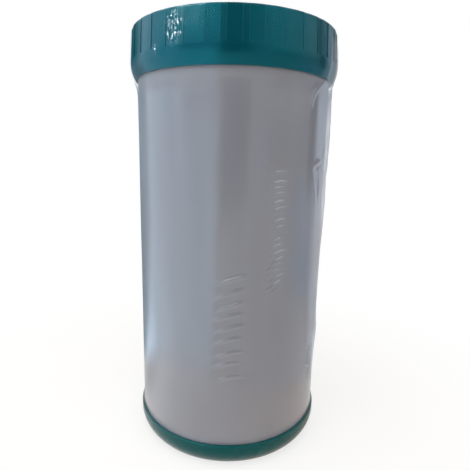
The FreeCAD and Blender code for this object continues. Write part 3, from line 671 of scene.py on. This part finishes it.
rear = map_range(tree, axes["Y"], -0.045, 0.02, kind="SMOOTHSTEP")
front_glow = blend_colors(tree, warm_side, (1.30, 1.27, 1.30, 1), (0.78, 0.63, 0.53, 1))
glow_color = blend_colors(tree, rear, front_glow, (0.56, 0.54, 0.53, 1))
glow = add(tree, "ShaderNodeEmission", None, Color=glow_color, Strength=1.0).outputs[0]
mirrored = math_node(tree, "MAXIMUM", path["Is Glossy Ray"], path["Is Transmission Ray"])
to_camera = mix_shaders(tree, shadow_share, white, paper)
to_others = mix_shaders(tree, mirrored, paper, glow)
from_above = mix_shaders(tree, path["Is Camera Ray"], to_others, to_camera)
below = add(tree, "ShaderNodeNewGeometry").outputs["Backfacing"]
clear = add(tree, "ShaderNodeBsdfTransparent").outputs[0]
tree.links.new(mix_shaders(tree, below, from_above, clear), output.inputs["Surface"])
floor_mesh.materials.append(floor_paper)
print("floor:", 2 * FLOOR_HALF, "m across")

# %% [markdown]
# The lamps are large and soft, and film doesn't mirror them: what it mirrors is the card below. The
# one small lamp does the opposite. It lights nothing and is seen in mirrors only, as the glint that the
# glittering patches of film catch. Azimuth runs from the camera's side towards +X, in degrees.

# %% Lamps
LAMP_AIM = Vector((0, 0, 0.12))


def soft_lamp(name, azimuth, elevation, distance, width, tall, power, color, mirrored=False):
    """A rectangular lamp that faces the cartridge's middle. A mirrored one is only a glint."""
    data = bpy.data.lights.new(name, "AREA")
    data.shape = "RECTANGLE"
    data.size, data.size_y = width, tall
    data.energy, data.color = power, color
    lamp = bpy.data.objects.new(name, data)
    a, e = math.radians(azimuth), math.radians(elevation)
    way = Vector((math.sin(a) * math.cos(e), -math.cos(a) * math.cos(e), math.sin(e)))
    lamp.location = LAMP_AIM + way * distance
    lamp.rotation_mode = "QUATERNION"
    lamp.rotation_quaternion = way.to_track_quat("Z", "Y")
    lamp.visible_camera = False
    lamp.visible_glossy = mirrored
    lamp.visible_diffuse = not mirrored
    bpy.context.scene.collection.objects.link(lamp)


LAMPS = (  # name, azimuth, elevation, distance, width, height, watts, colour, mirrored
    ("window", -72, 18, 1.1, 1.3, 1.2, 7.0, (0.92, 0.97, 1.0), False),
    ("fill", 40, 15, 1.2, 0.9, 0.9, 4.0, (1.0, 0.96, 0.92), False),
    ("overhead", -20, 78, 1.2, 0.8, 0.8, 11.0, (1.0, 1.0, 1.0), False),
    ("back", 176, 24, 1.3, 1.0, 0.9, 3.6, (0.96, 0.98, 1.0), False),
    ("spark", -52, 44, 1.2, 0.50, 0.50, 11.0, (1.0, 1.0, 1.0), True),
)
for row in LAMPS:
    soft_lamp(*row)
print("lamps:", ", ".join(row[0] for row in LAMPS))

# %% [markdown]
# What shiny film shows is the room in front of it. A curved card stands all round the studio, seen in
# mirrors only: it lights nothing and casts no shadow. Its tones are broad soft patches, laid one over
# another: a cool bright window at the left, a dark zone behind the camera, a narrow light strip and a
# pale wall at the right, darker and lighter bands that outline the loose seam, and a bright ceiling.
# Near its foot the card fades out and leaves the pale floor round the cartridge.

# %% Mirror card: its tones
def card_patches(azimuth, elevation):
    """The card's patches from the lowest up: how much each covers by direction in degrees, and its colour."""
    window = between(azimuth, -112, 9, -15.5, 2.6)
    behind = 1 - step_at(azimuth, -112, 9)
    high = step_at(elevation, 12, 3)
    upper_window = high * window
    strip_end = 25 + 13 * np.clip((elevation + 10) / 14, 0, 1)
    strip = between(azimuth, 25, 1.5, strip_end, 1.5) * step_at(elevation, -10, 2)
    upper_seam = step_at(elevation, -3, 2)
    return (
        (1 - step_at(elevation, 0, 6), (0.58, 0.57, 0.59)),  # low room
        (behind, (0.24, 0.31, 0.37)),  # behind the cartridge
        (behind * step_at(elevation, 16, 2), (0.02, 0.18, 0.22)),  # its upper part
        (behind * (1 - step_at(elevation, -2, 5)), (0.21, 0.26, 0.30)),  # its low part
        (window, (1.15, 1.42, 1.68)),
        (window * step_at(elevation, -2, 9), (0.95, 1.18, 1.48)),  # cooler higher up
        (upper_window * step_at(azimuth, -58, 5), (0.38, 0.52, 0.78)),  # what the top cap's left mirrors
        (upper_window * bump_at(azimuth, -76, 9), (0.60, 1.25, 1.65)),  # bright column at its far left
        (0.6 * bump_at(azimuth, -63, 6) * step_at(elevation, -14, 4), (1.25, 1.5, 1.8)),  # bright streak
        (between(azimuth, -15.5, 2.6, 22, 3), (0.72, 0.71, 0.74)),  # room behind the camera
        (between(azimuth, -13.5, 2.6, 19, 3) * step_at(elevation, -4, 4), (0.05, 0.06, 0.12)),  # its dark part
        (0.6 * bump_at(azimuth, -7, 6) * bump_at(elevation, -13, 4), (1.05, 0.85, 0.85)),  # warm spot
        (high * between(azimuth, 35, 6, 100, 5), (0.66, 0.70, 0.76)),  # pale wall
        (strip * (1 - 0.7 * high), (0.57, 0.61, 0.76)),  # narrow light strip
        (between(azimuth, 74, 5, 112, 5) * between(elevation, -24, 3, 0, 5), (0.34, 0.48, 0.66)),  # cool low band
        (between(azimuth, 97, 1.5, 110, 1.5) * (0.25 + 0.75 * upper_seam), (0.05, 0.07, 0.12)),  # dark line
        (between(azimuth, 113, 1.5, 128, 3) * (0.35 + 0.65 * upper_seam), (0.66, 0.76, 0.90)),  # light beside it
        (0.35 * bump_at(elevation, -4, 5) * step_at(azimuth, 90, 4), (0.72, 0.80, 0.92)),  # pale level band
    )


def card_tones(azimuth, elevation):
    """Red, green and blue of the card: each patch makes tone (1 - cover) + colour cover; then faint clouds."""
    def over(tone, cover, color):
        return tone * (1 - cover[..., None]) + np.array(color) * cover[..., None]

    tone = np.ones(azimuth.shape + (3,)) * np.array((0.36, 0.36, 0.39))
    for cover, color in card_patches(azimuth, elevation):
        tone = over(tone, cover, color)
    clouds = waves(np.radians(azimuth), elevation / 100, 41, (3, 14), (0, 3), 12)
    tone *= 1 + 0.10 * clouds[..., None] * np.array((1.1, 1.0, 0.9))
    ceiling = step_at(elevation, 31 + 9 * step_at(azimuth, -15, 4) - 5 * bump_at(azimuth, 45, 12), 3)
    return over(tone, ceiling, (1.9, 1.95, 2.05))


# %% [markdown]
# The card's surface starts near the cartridge at a radius that changes with the direction, runs outwards
# just above the floor and then curves upwards. It fades in over its first stretch.

# %% Mirror card: its surface
CARD_RADIUS, CARD_FOOT, CARD_HEIGHT, FLAT_SHARE = 0.9, 0.001, 1.6, 0.4
CARD_COLUMNS, CARD_ROWS, FADE_SHARE, FILM_RADIUS = 361, 80, 0.4, 0.058
START_DEGREES = [-180, -110, -60, 0, 60, 85, 113, 180]
START_RADII = [0.070, 0.105, 0.150, 0.130, 0.100, 0.105, 0.080, 0.070]
card_turn = np.radians(np.linspace(-180, 180, CARD_COLUMNS))
azimuth_grid, rise_grid = np.meshgrid(card_turn, np.linspace(0, 1, CARD_ROWS))
azimuth_degree = np.degrees(azimuth_grid)
card_start = np.interp(azimuth_degree, START_DEGREES, START_RADII)
card_radius = card_start + (CARD_RADIUS - card_start) * np.clip(rise_grid / FLAT_SHARE, 0, 1)
card_height = CARD_FOOT + CARD_HEIGHT * np.clip((rise_grid - FLAT_SHARE) / (1 - FLAT_SHARE), 0, 1) ** 1.3
card_elevation = np.degrees(np.arctan2(card_height - LAMP_AIM.z, card_radius - FILM_RADIUS))
tones = card_tones(azimuth_degree, card_elevation)
index = np.arange(card_radius.size).reshape(card_radius.shape)
quads = np.stack([index[:-1, :-1], index[:-1, 1:], index[1:, 1:], index[1:, :-1]], axis=-1).reshape(-1, 4)
card_mesh = bpy.data.meshes.new("mirror_card")
card_x, card_y = card_radius * np.sin(azimuth_grid), -card_radius * np.cos(azimuth_grid)
card_points = np.stack([card_x, card_y, card_height], axis=-1)
card_mesh.from_pydata(card_points.reshape(-1, 3).tolist(), [], quads.tolist())
card_solid = np.clip((card_radius - card_start) / (FADE_SHARE * card_start), 0, 1)
tone_layer = card_mesh.attributes.new("tone", "FLOAT_COLOR", "POINT")
tone_layer.data.foreach_set("color", np.dstack([tones, card_solid]).astype(np.float32).ravel())
card = bpy.data.objects.new("mirror_card", card_mesh)
bpy.context.scene.collection.objects.link(card)
print("card:", len(quads), "faces")

# %% Mirror card: its finish
card_finish, tree, output = new_material("mirror_card")
tone = add(tree, "ShaderNodeAttribute", {"attribute_name": "tone"})
shine = add(tree, "ShaderNodeEmission", None, Color=tone.outputs["Color"]).outputs[0]
clear = add(tree, "ShaderNodeBsdfTransparent").outputs[0]
tree.links.new(mix_shaders(tree, tone.outputs["Alpha"], clear, shine), output.inputs["Surface"])
card_mesh.materials.append(card_finish)
card.visible_camera = card.visible_diffuse = card.visible_shadow = card.visible_transmission = False
print("material:", card_finish.name)
